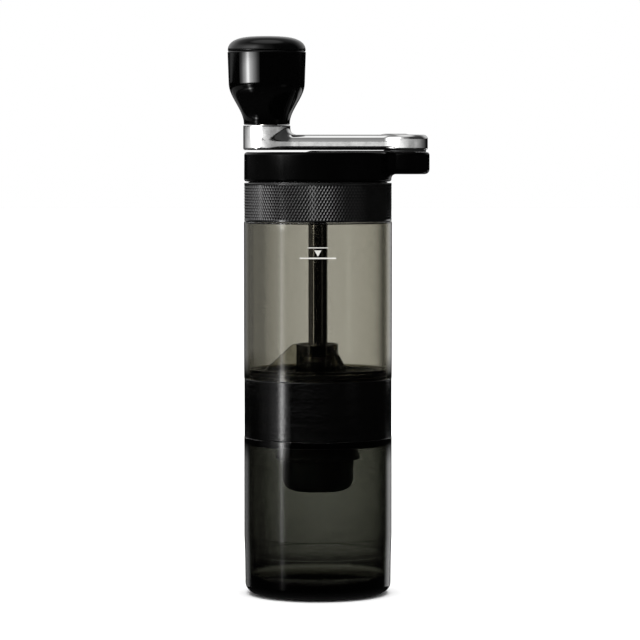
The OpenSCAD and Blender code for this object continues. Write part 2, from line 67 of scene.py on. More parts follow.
# Levels and radii that the pieces share
BODY_R = box_mm("bean_hopper")[1][0]
JAR_LOW = box_mm("grounds_jar")[0][2]
JAR_TOP = box_mm("band_sleeve")[0][2] - 0.1
JAR_NECK_TOP = box_mm("grounds_jar")[1][2]
BAND_LOW, BAND_HIGH = box_mm("band_sleeve")[0][2], box_mm("band_sleeve")[1][2]
HOPPER_LOW = box_mm("bean_hopper")[0][2]
HOPPER_NECK_TOP = box_mm("bean_hopper")[1][2]
HOPPER_TOP = HOPPER_NECK_TOP - 8.3
RING_LOW, RING_HIGH = box_mm("lid_ring")[0][2], box_mm("lid_ring")[1][2]
HEAD_LOW, HEAD_HIGH = box_mm("crank_head")[0][2], box_mm("crank_head")[1][2]
ARM_LOW, BOSS_HIGH = box_mm("crank_arm")[0][2], box_mm("crank_arm")[1][2]
KNOB_LOW, KNOB_HIGH = box_mm("knob_body")[0][2], box_mm("knob_body")[1][2]
CAP_HIGH = box_mm("knob_cap")[1][2]
PIVOT_X = joint_mm("arm_fold")[0]
KNOB_X = joint_mm("knob_spin")[0]
HUB_TOP = box_mm("bearing_spider")[1][2]
PLASTIC_WALL = 2
JAR_NECK_R = BODY_R - 3.4
THREAD_LEAD = 12


# ---------- mesh tools ----------

def build(name, points, faces, normals=None, smooth=True):
    """A mesh object from points in millimetres, smooth with the given or face-weighted normals, or flat."""
    mesh = bpy.data.meshes.new(name)
    mesh.from_pydata((np.asarray(points) * MM).tolist(), [], faces)
    mesh.polygons.foreach_set("use_smooth", [smooth] * len(mesh.polygons))
    mesh.update()
    piece = bpy.data.objects.new(name, mesh)
    bpy.context.scene.collection.objects.link(piece)
    if smooth:
        if normals is None:
            normals = face_weighted_normals(mesh)
        mesh.normals_split_custom_set_from_vertices(np.asarray(normals).tolist())
    return piece


def face_weighted_normals(mesh):
    """Vertex normals weighted by face area, so that flat faces shade flat beside small fillets."""
    count = len(mesh.loops)
    corner = np.empty(count, int)
    mesh.loops.foreach_get("vertex_index", corner)
    face_normals = np.empty(len(mesh.polygons) * 3)
    mesh.polygons.foreach_get("normal", face_normals)
    areas = np.empty(len(mesh.polygons))
    mesh.polygons.foreach_get("area", areas)
    sides = np.empty(len(mesh.polygons), int)
    mesh.polygons.foreach_get("loop_total", sides)
    weighted = face_normals.reshape(-1, 3) * areas[:, None]
    total = np.zeros((len(mesh.vertices), 3))
    np.add.at(total, corner, np.repeat(weighted, sides, axis=0))
    length = np.linalg.norm(total, axis=1, keepdims=True)
    return total / np.maximum(length, 1e-20)


def rounded(corners, steps=7):
    """Outline through (r, z, fillet) corners, each corner turned into an arc."""
    outline = []
    count = len(corners)
    for i, (r, z, fillet) in enumerate(corners):
        here = np.array([r, z], float)
        if fillet <= 0:
            outline.append(here)
            continue
        before = np.array(corners[i - 1][:2], float) - here
        after = np.array(corners[(i + 1) % count][:2], float) - here
        before /= np.linalg.norm(before)
        after /= np.linalg.norm(after)
        half = math.acos(np.clip(before @ after, -1, 1)) / 2
        middle = (before + after) / np.linalg.norm(before + after)
        centre = here + middle * fillet / math.sin(half)
        start = here + before * fillet / math.tan(half) - centre
        end = here + after * fillet / math.tan(half) - centre
        turn = math.atan2(start[0] * end[1] - start[1] * end[0], start @ end)
        for k in range(steps + 1):
            a = turn * k / steps
            spin = np.array([[math.cos(a), -math.sin(a)], [math.sin(a), math.cos(a)]])
            outline.append(centre + spin @ start)
    return outline


def signed_area(outline):
    """Twice the outline's area, positive when it runs anticlockwise."""
    total = 0
    for (r0, z0), (r1, z1) in zip(outline, outline[1:] + outline[:1]):
        total += r0 * z1 - r1 * z0
    return total


def lathe(name, outline, sides=192, x=0, bump=None):
    """A closed body of revolution about a vertical axis at x. bump(angle, r, z) may move a point's radius."""
    outline = [(float(r), float(z)) for r, z in outline]
    if signed_area(outline) < 0:
        outline = outline[::-1]
    points, rows = [], []
    for r, z in outline:
        if r < 1e-6:
            rows.append([len(points)] * sides)
            points.append((x, 0, z))
            continue
        rows.append(list(range(len(points), len(points) + sides)))
        for k in range(sides):
            a = TAU * k / sides
            reach = bump(a, r, z) if bump else r
            points.append((x + reach * math.cos(a), reach * math.sin(a), z))
    faces = []
    for i, row in enumerate(rows):
        above = rows[(i + 1) % len(rows)]
        for k in range(sides):
            n = (k + 1) % sides
            face = []
            for corner in (row[k], row[n], above[n], above[k]):
                if corner not in face:
                    face.append(corner)
            if len(face) > 2:
                faces.append(face)
    return build(name, points, faces)


def field_mesh(name, field, low, high, step):
    """The zero level of a distance field: surface nets, with the points then moved on to the surface."""
    axes = [np.arange(low[k] - 2 * step, high[k] + 2.5 * step, step) for k in range(3)]
    value = field(*np.meshgrid(*axes, indexing="ij"))
    inside = value < 0
    cells = tuple(n - 1 for n in value.shape)
    count = np.zeros(cells, int)
    total = np.zeros(cells + (3,))
    hits = np.zeros(cells)
    offsets = [(i, j, k) for i in (0, 1) for j in (0, 1) for k in (0, 1)]

    def window(a, o):
        """The values at one corner of every cell."""
        return a[o[0]:o[0] + cells[0], o[1]:o[1] + cells[1], o[2]:o[2] + cells[2]]

    for o in offsets:
        count += window(inside, o)
    for o in offsets:
        for axis in range(3):
            if o[axis]:
                continue
            far = tuple(v + (k == axis) for k, v in enumerate(o))
            v0, v1 = window(value, o), window(value, far)
            crossed = (v0 < 0) != (v1 < 0)
            t = np.where(crossed, v0 / np.where(crossed, v0 - v1, 1), 0)
            for k in range(3):
                total[..., k] += crossed * (o[k] + (t if k == axis else 0))
            hits += crossed
    mixed = (count > 0) & (count < 8)
    where = np.argwhere(mixed)
    number = np.full(cells, -1)
    number[mixed] = np.arange(len(where))
    spot = (where + total[mixed] / hits[mixed][:, None]) * step + np.array([a[0] for a in axes])
    faces = []
    for axis in range(3):
        u, v = (axis + 1) % 3, (axis + 2) % 3
        far = [slice(None)] * 3
        near = [slice(None)] * 3
        far[axis] = slice(1, None)
        near[axis] = slice(None, -1)
        flips = inside[tuple(near)] != inside[tuple(far)]
        for edge in np.argwhere(flips):
            if edge[u] == 0 or edge[v] == 0 or edge[u] >= cells[u] or edge[v] >= cells[v]:
                continue
            ring = []
            for du, dv in ((-1, -1), (0, -1), (0, 0), (-1, 0)):
                cell = edge.copy()
                cell[u] += du
                cell[v] += dv
                ring.append(int(number[tuple(cell)]))
            faces.append(ring if inside[tuple(edge)] else ring[::-1])
    for _ in range(4):
        slope = gradient(field, spot)
        size = np.maximum((slope ** 2).sum(1), 0.2)
        spot = spot - slope * (field(*spot.T) / size)[:, None]
    slope = gradient(field, spot)
    normals = slope / np.linalg.norm(slope, axis=1, keepdims=True)
    return build(name, spot, faces, normals)


def gradient(field, spot, h=0.02):
    """Slope of a distance field at points."""
    x, y, z = spot.T
    return np.stack([
        field(x + h, y, z) - field(x - h, y, z),
        field(x, y + h, z) - field(x, y - h, z),
        field(x, y, z + h) - field(x, y, z - h),
    ], 1) / (2 * h)


def slab(flat, z, z0, z1, low_edge, high_edge):
    """Distance to an upright extrusion with rounded edges; flat is the distance to its plan outline."""
    middle = (z0 + z1) / 2
    edge = np.where(z < middle, low_edge, high_edge)
    side = flat + edge
    cap = np.abs(z - middle) - (z1 - z0) / 2 + edge
    return np.minimum(np.maximum(side, cap), 0) + np.hypot(np.maximum(side, 0), np.maximum(cap, 0)) - edge


def taper(x, y, x0, r0, x1, r1):
    """Plan distance to two circles on the X axis and the straight sides between them."""
    length = x1 - x0
    lean = (r0 - r1) / length
    across = np.abs(y)
    k = np.clip(((x - x0) + across * lean / math.sqrt(1 - lean ** 2)) / length, 0, 1)
    return np.hypot(x - (x0 + k * length), across) - (r0 + (r1 - r0) * k)


def join(a, b, k):
    """Union of two distance fields with a fillet of about k."""
    h = np.clip(0.5 + 0.5 * (b - a) / k, 0, 1)
    return b * (1 - h) + a * h - k * h * (1 - h)


# ---------- material tools ----------

class Shader:
    """A small node tree round one Principled BSDF."""

    def __init__(self, name):
        self.material = bpy.data.materials.new(name)
        self.material.use_nodes = True
        self.tree = self.material.node_tree
        self.bsdf = self.tree.nodes["Principled BSDF"]
        self.place = self.tree.nodes.new("ShaderNodeTexCoord").outputs["Object"]

    def set(self, **values):
        """Sets the shader's own inputs, each named with _ for a space."""
        for key, value in values.items():
            socket = self.bsdf.inputs[key.replace("_", " ")]
            socket.default_value = (*value, 1) if isinstance(value, tuple) else value

    def node(self, kind, **settings):
        """A new node with the given settings."""
        made = self.tree.nodes.new(kind)
        for key, value in settings.items():
            setattr(made, key, value)
        return made

    def link(self, a, b):
        self.tree.links.new(a, b)

    def scaled(self, scale):
        """Object coordinates times scale, in metres."""
        mapping = self.node("ShaderNodeMapping")
        mapping.inputs["Scale"].default_value = scale
        self.link(self.place, mapping.inputs["Vector"])
        return mapping.outputs["Vector"]

    def noise(self, scale, detail=3, stretch=(1, 1, 1), rough=0.5):
        """Noise over the object, finer with scale, and drawn out along an axis with a small stretch."""
        texture = self.node("ShaderNodeTexNoise")
        texture.inputs["Scale"].default_value = scale
        texture.inputs["Detail"].default_value = detail
        texture.inputs["Roughness"].default_value = rough
        self.link(self.scaled(stretch), texture.inputs["Vector"])
        return texture.outputs["Fac"]

    def spread(self, value, low, high, start=0.3, end=0.7):
        """A value from start to end turned into one from low to high."""
        span = self.node("ShaderNodeMapRange")
        for key, number in zip(("From Min", "From Max", "To Min", "To Max"), (start, end, low, high)):
            span.inputs[key].default_value = number
        self.link(value, span.inputs["Value"])
        return span.outputs["Result"]

    def roughness(self, value, low, high):
        """Roughness that varies from low to high with a value."""
        self.link(self.spread(value, low, high), self.bsdf.inputs["Roughness"])

    def colour(self, value, dark, light):
        """Base colour that varies from dark to light with a value."""
        mix = self.node("ShaderNodeMix", data_type="RGBA")
        mix.inputs[6].default_value = (*dark, 1)
        mix.inputs[7].default_value = (*light, 1)
        self.link(self.spread(value, 0, 1), mix.inputs[0])
        self.link(mix.outputs[2], self.bsdf.inputs["Base Color"])

    def bump(self, value, depth):
        """Relief of the given depth in millimetres."""
        relief = self.node("ShaderNodeBump")
        relief.inputs["Distance"].default_value = depth * MM
        relief.inputs["Strength"].default_value = 1.0
        self.link(value, relief.inputs["Height"])
        self.link(relief.outputs["Normal"], self.bsdf.inputs["Normal"])


def smoked_plastic(name, tint, density, scatter):
    """Clear plastic that darkens with its thickness."""
    s = Shader(name)
    s.set(Base_Color=(1, 1, 1), Transmission_Weight=1.0, IOR=1.49)
    s.roughness(s.noise(90), 0.0, scatter)
    s.bump(s.noise(160, 1), 0.004)
    volume = s.node("ShaderNodeVolumeAbsorption")
    volume.inputs["Color"].default_value = (*tint, 1)
    volume.inputs["Density"].default_value = density
    s.link(volume.outputs["Volume"], s.tree.nodes["Material Output"].inputs["Volume"])
    return s.material


def gloss_black(name, shade, low, high, level):
    """Polished black surface with very faint handling marks."""
    s = Shader(name)
    s.set(Specular_IOR_Level=level)
    s.colour(s.noise(40, 5), (shade * 0.7,) * 3, (shade * 1.3,) * 3)
    s.roughness(s.noise(220, 6, (1, 1, 0.35), 0.7), low, high)
    s.bump(s.noise(900, 2), 0.0015)
    return s.material


def moulded(name, shade, rough, grain=1800, depth=0.012, level=0.3):
    """Moulded plastic or rubber with a fine grain."""
    s = Shader(name)
    s.set(Specular_IOR_Level=level)
    s.colour(s.noise(60, 4), tuple(c * 0.8 for c in shade), tuple(c * 1.2 for c in shade))
    s.roughness(s.noise(300, 4), rough * 0.85, min(rough * 1.15, 1))
    s.bump(s.noise(grain, 3), depth)
    return s.material


def turned_black(name):
    """Black metal turned on a lathe: fine rings round it that spread its highlight."""
    s = Shader(name)
    s.set(Specular_IOR_Level=0.5)
    rings = s.noise(1700, 3, (0.3, 0.3, 1))
    s.colour(rings, (0.0002,) * 3, (0.0006,) * 3)
    s.roughness(s.noise(1200, 3, (0.01, 0.01, 1)), 0.03, 0.16)
    s.bump(rings, 0.05)
    return s.material


def machined(name, shade, low, high, stretch=(1, 1, 0.08), depth=0.004):
    """Cut or ground metal with fine tool marks."""
    s = Shader(name)
    s.set(Metallic=1.0)
    marks = s.noise(5000, 4, stretch)
    s.colour(marks, tuple(c * 0.8 for c in shade), tuple(min(c * 1.15, 1) for c in shade))
    s.roughness(s.noise(2500, 4, stretch), low, high)
    s.bump(marks, depth)
    return s.material


def polished_plate(name, shade):
    """Bright chrome plate with faint polishing haze."""
    s = Shader(name)
    s.set(Metallic=1.0)
    s.colour(s.noise(70, 4), tuple(c * 0.94 for c in shade), shade)
    s.roughness(s.noise(420, 6, rough=0.7), 0.03, 0.07)
    s.bump(s.noise(180, 2), 0.001)
    return s.material


def floor_paint(name):
    """Pale matt floor with a painted glow that grows away from the object, so that it fades into the studio's
    white.
    """
    s = Shader(name)
    s.set(Specular_IOR_Level=0.1)
    s.colour(s.noise(3, 3), (0.88,) * 3, (0.92,) * 3)
    s.roughness(s.noise(8, 3), 0.8, 0.95)
    # Painted glow: emission that grows from none within 0.12 m of the object's centre to 0.6 beyond 0.6 m
    distance = s.node("ShaderNodeVectorMath", operation="LENGTH")
    s.link(s.place, distance.inputs[0])
    glow = s.spread(distance.outputs["Value"], 0, 0.6, 0.12, 0.6)
    s.link(glow, s.bsdf.inputs["Emission Strength"])
    s.set(Emission_Color=(1.0, 1.0, 1.0))
    return s.material


MATERIALS = {
    "smoked_jar": smoked_plastic("smoked_jar", (0.12, 0.13, 0.05), 800, 0.04),
    "smoked_hopper": smoked_plastic("smoked_hopper", (0.24, 0.21, 0.06), 350, 0.03),
    "smoked_hub": smoked_plastic("smoked_hub", (0.24, 0.21, 0.06), 600, 0.05),
    "black_silicone": moulded("black_silicone", (0.012, 0.012, 0.012), 0.6, 900),
    "grey_silicone": moulded("grey_silicone", (0.1, 0.1, 0.095), 0.5, 900),
    "black_nylon": moulded("black_nylon", (0.05, 0.05, 0.048), 0.45, level=0.8),
    "black_dial": moulded("black_dial", (0.04, 0.04, 0.038), 0.4, level=0.7),
    "dark_washer": moulded("dark_washer", (0.015, 0.015, 0.015), 0.4),
    "white_acetal": moulded("white_acetal", (0.66, 0.65, 0.61), 0.4, level=0.5),
    "black_anodised": turned_black("black_anodised"),
    "knurled_black": gloss_black("knurled_black", 0.001, 0.08, 0.14, 0.9),
    "black_gloss": gloss_black("black_gloss", 0.0004, 0.08, 0.14, 0.035),
    "knob_gloss": gloss_black("knob_gloss", 0.0004, 0.035, 0.07, 0.3),
    "polished_chrome": polished_plate("polished_chrome", (0.84, 0.84, 0.835)),
    "shaft_steel": machined("shaft_steel", (0.3, 0.29, 0.27), 0.05, 0.1, (0.1, 0.1, 1), 0.002),
    "burr_steel": machined("burr_steel", (0.46, 0.46, 0.46), 0.22, 0.4),
    "bearing_steel": machined("bearing_steel", (0.12, 0.12, 0.12), 0.08, 0.16, depth=0.001),
    "spring_steel": machined("spring_steel", (0.36, 0.36, 0.37), 0.22, 0.34, (1, 1, 1)),
    "steel_fastener": machined("steel_fastener", (0.5, 0.5, 0.49), 0.2, 0.34, (1, 1, 1)),
    "brass": machined("brass", (0.66, 0.47, 0.2), 0.2, 0.32, (0.1, 0.1, 1)),
}

# The camera's place in metres, its lens in millimetres and its tilt down in degrees
CAMERA_PLACE = (0.0008, -1.195, 0.171)
CAMERA_LENS = 171.6
CAMERA_TILT = 3.04

# The studio that reflections see, as (degrees, share of the peak) stops by azimuth and elevation.
# Azimuth is 0 to the front, -90 to the left and 180 behind; elevation is 0 at the horizon.
AMBIENT_PEAK = 1.2
AMBIENT_HEIGHT = [(-90, 0.06), (-18, 0.01), (5, 0.005), (45, 0.02), (60, 0.1), (71, 0.8), (90, 1.0)]
BACK_PEAK = 0.6
BACK_SIDE = [(-180, 1.0), (-140, 1.0), (-105, 0.0), (105, 0.0), (140, 1.0), (180, 1.0)]
BACK_HEIGHT = [(3.5, 0.0), (7, 0.9), (25, 1.0), (40, 0.4), (70, 0.0)]
PANEL_PEAK = 1.5
PANEL_SIDE = [(-150, 0.0), (-110, 0.4), (-75, 0.9), (-40, 1.0), (-10, 0.8), (0, 0.6), (20, 0.35), (40, 0.3),
              (55, 0.35), (95, 0.1), (130, 0.0)]
PANEL_HEIGHT = [(-0.3, 0.0), (0.0, 1.0), (0.55, 1.0), (0.75, 0.0)]
SKY_PEAK = 0.5
SKY_SIDE = [(-150, 0.0), (-110, 0.5), (-75, 1.0), (-10, 1.0), (10, 0.6), (28, 0.1), (95, 0.06), (130, 0.0)]
SKY_HEIGHT = [(2.5, 0.0), (3.2, 0.9), (9, 1.0), (17, 0.75), (38, 0.7), (55, 0.35), (68, 0.0)]
CORNER_PEAK = 3.2
CORNER_SIDE = [(-178, 0.0), (-165, 0.0), (-140, 0.1), (-110, 0.2), (-82, 0.35), (-62, 0.7), (-38, 0.9),
               (-20, 0.2), (-5, 0.0)]
CORNER_HEIGHT = [(5, 0.0), (9, 1.0), (26, 1.0), (42, 0.4), (60, 0.0)]

# The backdrop that shows through the clear parts: panels all round, dark just above the floor.
# Its SIDE stops run from -1 between two panels to 1 at the middle of one.
BACKDROP_PANELS = 8
BACKDROP_TURN = 2.8
BACKDROP_SIDE = [(-1.0, 0.3), (0.35, 0.4), (0.75, 0.85), (0.9, 1.0), (1.0, 1.0)]
BACKDROP_HEIGHT = [(-90, 1.0), (-20, 0.9), (-11, 0.1), (-7.8, 0.06), (-7.65, 0.3), (-7.5, 0.55), (-6.3, 1.0),
                   (0, 1.0)]

# The even light that matt surfaces get, and the square light overhead, in metres and watts
DIFFUSE_LIGHT = 0.6
OVERHEAD_SIZE = 1.2
OVERHEAD_HEIGHT = 1.3
OVERHEAD_POWER = 26

# The soft strips of light on a round screen near the object, by azimuth and by height in millimetres
SCREEN_RADIUS = 350
SCREEN_LOW, SCREEN_HIGH = -80, 240
KNOB_STRIP_PEAK = 38.0
KNOB_STRIP_SIDE = [(-88, 0.0), (-78, 0.06), (-66, 0.34), (-57.5, 1.0), (-51, 0.45), (-40, 0.2), (-30, 0.05),
                   (-22, 0.0)]
KNOB_STRIP_HEIGHT = [(176, 0.0), (181, 0.5), (185, 1.0), (198, 1.0), (204, 0.5), (214, 0.0)]
BODY_STRIP_PEAK = 12.8
BODY_STRIP_SIDE = [(-105, 0.0), (-80, 0.01), (-64, 0.06), (-59, 0.35), (-56.5, 1.0), (-54, 0.6), (-49, 0.08),
                   (-42, 0.0)]
BODY_STRIP_HEIGHT = [(-60, 0.0), (-40, 0.05), (-20, 0.125), (20, 0.17), (32, 1.0), (58, 1.0), (68, 0.225),
                     (130, 0.19), (135, 0.175), (138, 0.625), (150, 0.625), (154, 0.0)]
SIDE_PEAK = 0.4
SIDE_SIDE = [(-135, 0.0), (-126, 0.55), (-82, 0.55), (-74, 0.0), (40, 0.0), (46, 0.3), (57, 0.3), (63, 0.0)]
SIDE_HEIGHT = [(70, 0.0), (76, 1.0), (138, 1.0), (146, 0.0)]
RIM_PEAK = 0.8
RIM_SIDE = [(-162, 0.0), (-152, 0.4), (-140, 0.4), (-128, 0.0), (126, 0.0), (138, 1.0), (150, 1.0),
            (162, 0.0)]
RIM_HEIGHT = [(-60, 1.0), (18, 1.0), (28, 0.0), (62, 0.0), (72, 1.0), (143, 1.0), (147, 0.0)]


def finish_piece(piece, body, slot, *nodes):
    """Puts a piece on its body, gives it its finish, and hides the CAD nodes it stands for."""
    piece.data.materials.clear()
    piece.data.materials.append(MATERIALS[slot])
    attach(piece, body)
    if nodes:
        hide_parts(*nodes)


# ---------- grounds jar ----------

def jar_bump(angle, r, z):
    """The three lugs on the jar's neck, each a short length of thread with ramped ends and edges."""
    if r < JAR_NECK_R - 0.05 or z < JAR_TOP + 0.3:
        return r
    lugs, depth = 3, 0.88
    half_arc, end_ramp = math.radians(22), math.radians(3)
    half_height, edge_ramp = 0.95, 0.4
    best = 0
    for lug in range(lugs):
        away = (angle - TAU * lug / lugs + math.pi) % TAU - math.pi
        mid = JAR_TOP + 5.7 + THREAD_LEAD * away / TAU
        along = np.clip((half_arc - abs(away)) / end_ramp, 0, 1)
        across = np.clip((half_height - abs(z - mid)) / edge_ramp, 0, 1)
        best = max(best, along * across)
    return r + depth * best


def make_jar():
    """The jar, drawn in slightly below the ease, with rows of points up its neck for the thread lugs."""
    inner = BODY_R - PLASTIC_WALL
    mouth = BODY_R - 5.6
    floor = JAR_LOW + 4
    recess_r, recess = 22.15, JAR_LOW + 1.1
    ease = JAR_LOW + 22.5
    neck_low, neck_high, rows = JAR_TOP + 0.5, JAR_NECK_TOP - 0.5, 28
    outline = rounded([
        (0, recess, 0), (recess_r, recess, 0.15), (recess_r, JAR_LOW, 0.25),
        (BODY_R - 0.5, JAR_LOW, 3.9), (BODY_R - 0.28, ease - 7, 3.0), (BODY_R, ease, 3.0),
        (BODY_R, JAR_TOP, 0.12), (JAR_NECK_R, JAR_TOP, 0.25),
    ])
    for k in range(rows + 1):
        outline.append(np.array([JAR_NECK_R, neck_low + k * (neck_high - neck_low) / rows]))
    outline += rounded([
        (JAR_NECK_R, JAR_TOP + 7, 0), (JAR_NECK_R, JAR_NECK_TOP, 0.3), (mouth, JAR_NECK_TOP, 0.3),
        (mouth, JAR_TOP - 0.3, 0.6), (inner, JAR_TOP - 2.6, 0.8), (inner, ease, 3.0),
        (inner - 0.28, ease - 7, 3.0), (inner - 0.42, floor, 4.5), (0, floor, 0),
    ])[1:]
    jar = lathe("grounds_jar_shell", outline, sides=240, bump=jar_bump)
    finish_piece(jar, "jar", "smoked_jar", "grounds_jar")


def make_foot_pad():
    """The pad under the jar, with one ring groove."""
    r, thick = 22, 1.5
    groove_in, groove_out, groove = 14.8, 16, 0.5
    corners = [(0, 0, 0), (groove_in, 0, 0.15), (groove_in, groove, 0.15), (groove_out, groove, 0.15),
               (groove_out, 0, 0.15), (r, 0, 0.3), (r, thick, 0.2), (0, thick, 0)]
    pad = lathe("foot_pad_disc", rounded(corners), sides=128)
    finish_piece(pad, "jar", "black_silicone", "foot_pad")


# ---------- grinder body ----------

def make_band():
    """The black metal band, a short thin tube."""
    low, high = BAND_LOW, BAND_HIGH
    r = BODY_R - 0.1
    bore = r - 0.68
    corners = [(bore, low, 0.1), (r, low, 0.2), (r, high, 0.2), (bore, high, 0.1)]
    band = lathe("band_tube", rounded(corners), sides=256)
    finish_piece(band, "grinder", "black_anodised", "band_sleeve")


def make_hopper():
    """The bean hopper, a clear tube with a thinner neck for the lid."""
    inner = BODY_R - PLASTIC_WALL
    neck = BODY_R - 1.5
    mouth = BODY_R - 3.1
    corners = [
        (inner, HOPPER_LOW, 0.2), (BODY_R, HOPPER_LOW, 0.12), (BODY_R, HOPPER_TOP, 0.3),
        (neck, HOPPER_TOP, 0.25), (neck, HOPPER_NECK_TOP, 0.3), (mouth, HOPPER_NECK_TOP, 0.3),
        (mouth, HOPPER_TOP + 0.6, 0.3), (inner, HOPPER_TOP - 0.6, 0.3),
    ]
    hopper = lathe("bean_hopper_tube", rounded(corners), sides=256)
    finish_piece(hopper, "grinder", "smoked_hopper", "bean_hopper")


def make_fill_mark():
    """A plain printed fill line with a small pointer over it, in place of any printed mark."""
    r, thick = BODY_R + 0.03, 0.06
    level = HOPPER_LOW + 47.5
    points, faces = [], []

    def patch(spots):
        """A thin raised patch whose outline is given as (distance along the wall, height)."""
        first = len(points)
        for lift in (0, thick):
            for along, z in spots:
                a = -math.pi / 2 + along / BODY_R
                points.append(((r + lift) * math.cos(a), (r + lift) * math.sin(a), z))
        n = len(spots)
        faces.append([first + k for k in reversed(range(n))])
        faces.append([first + n + k for k in range(n)])
        for k in range(n):
            m = (k + 1) % n
            faces.append([first + k, first + m, first + n + m, first + n + k])

    half = 7.0
    steps = 24
    for low, high, width in ((level, level + 0.55, half), (level + 4.1, level + 4.45, half * 0.55)):
        for k in range(steps):
            left = -width + 2 * width * k / steps
            right = -width + 2 * width * (k + 1) / steps
            patch([(left, low), (right, low), (right, high), (left, high)])
    pointer, top = 1.35, level + 3.3
    patch([(0, level + 0.95), (pointer, top), (-pointer, top)])
    mark = build("fill_mark", points, faces, smooth=False)
    finish_piece(mark, "grinder", "white_acetal")


def make_spider():
    """Bearing hub on its three fins, in the collar that carries the hopper."""
    foot = box_mm("bearing_spider")[0][2]
    hub_r, hub_low = 7.9, HUB_TOP - 12
    bore, lip_bore, lip_top = 6.0, 4.8, hub_low + 1
    ring_mid, ring_half, ring_top = 21.55, 2.0, foot + 2.8
    collar_r, collar_bore = box_mm("bearing_spider")[1][0], 22.6
    collar_low, collar_top = foot + 1.35, foot + 5.2
    cone_r, cone_run, cone_rise = 23.2, 2.2, 2.4
    groove_r, groove_mid, groove_half = 25.5, foot + 3.2, 0.8
    fin_top, fin_in, fin_out, fin_half = HUB_TOP - 0.3, 6.5, 22.4, 0.95
    top_r, top_run, top_drop = 10.0, 10.9, 10.0
    under_r, under_low, under_run, under_rise = 20.0, foot + 0.6, 13.2, 2.4
    blend = 0.9

    def field(x, y, z):
        r = np.hypot(x, y)
        hub = slab(r - hub_r, z, hub_low, HUB_TOP, 0.5, 0.6)
        ring = slab(np.abs(r - ring_mid) - ring_half, z, foot, ring_top, 0.2, 0.4)
        cone = (z - ring_top) * cone_run - (r - cone_r) * cone_rise
        cone = cone / math.hypot(cone_run, cone_rise)
        wall = slab(r - collar_r, z, collar_low, collar_top, 0.15, 0.35)
        wall = np.maximum(np.maximum(wall, cone), collar_bore - r)
        groove = np.maximum(groove_r - r, np.abs(z - groove_mid) - groove_half)
        collar = np.maximum(join(wall, ring, 0.3), -groove)
        fins = None
        for turn in (60, 180, 300):
            c, s = math.cos(math.radians(turn)), math.sin(math.radians(turn))
            out, side = x * c + y * s, -x * s + y * c
            slope = (z - fin_top) * top_run + (out - top_r) * top_drop
            top = np.maximum(slope / math.hypot(top_run, top_drop), z - fin_top)
            under = (under_low - z) * under_run - (out - under_r) * under_rise
            under = under / math.hypot(under_run, under_rise)
            web = np.maximum(np.maximum(top, under), np.maximum(out - fin_out, fin_in - out))
            fin = np.maximum(web, np.abs(side) - fin_half)
            fins = fin if fins is None else np.minimum(fins, fin)
        whole = join(join(hub, fins, blend), collar, blend)
        hole = np.where(z > lip_top, r - bore, r - lip_bore)
        return np.maximum(whole, -hole)

    low, high = (-collar_r, -collar_r, foot), (collar_r, collar_r, HUB_TOP)
    spider = field_mesh("bearing_spider_moulding", field, low, high, step=0.42)
    finish_piece(spider, "grinder", "smoked_hub", "bearing_spider")


# ---------- cone burr carrier and dial ----------

def make_carrier():
    """The flared carrier under the cone burr, with a shallow recess and a deeper groove in its foot."""
    low, high = box_mm("burr_carrier")[0][2], box_mm("burr_carrier")[1][2]
    bore, hub_r, rib_in, rib_out = 3.05, 6.3, 12.2, 13
    recess, groove, groove_r = low + 1, low + 2.2, 14.9
    flare_r, flare_top, top_r = 16.5, low + 1.1, 12.9
    corners = [
        (bore, low, 0.1), (hub_r, low, 0.2), (hub_r, recess, 0.1), (rib_in, recess, 0.1),
        (rib_in, low, 0.2), (rib_out, low, 0.2), (rib_out, groove, 0.3), (groove_r, groove, 0.3),
        (groove_r, low, 0.3), (flare_r, low, 0.25), (flare_r, flare_top, 0.3), (top_r, high, 0.5),
        (bore, high, 0.1),
    ]
    carrier = lathe("burr_carrier_cup", rounded(corners, steps=5), sides=160)
    finish_piece(carrier, "burr", "black_nylon", "burr_carrier")


def make_dial():
    """The adjusting dial under the carrier, bored for its nut, with a wider mouth below."""
    low, high = box_mm("adjust_dial")[0][2], box_mm("adjust_dial")[1][2]
    r, rim_r, bore = 13.85, 14.1, 5.52
    mouth_r, mouth_top = 6.6, low + 2.7
    corners = [
        (mouth_r, low, 0.5), (r, low, 4.9), (r, high - 4, 0.8), (rim_r, high - 0.6, 0.3),
        (rim_r - 0.4, high, 0.2), (bore, high, 0.3), (bore, mouth_top, 0.1), (mouth_r, mouth_top, 0.2),
    ]
    dial = lathe("adjust_dial_cup", rounded(corners), sides=160)
    finish_piece(dial, "dial", "black_dial", "adjust_dial")


# ---------- lid ----------

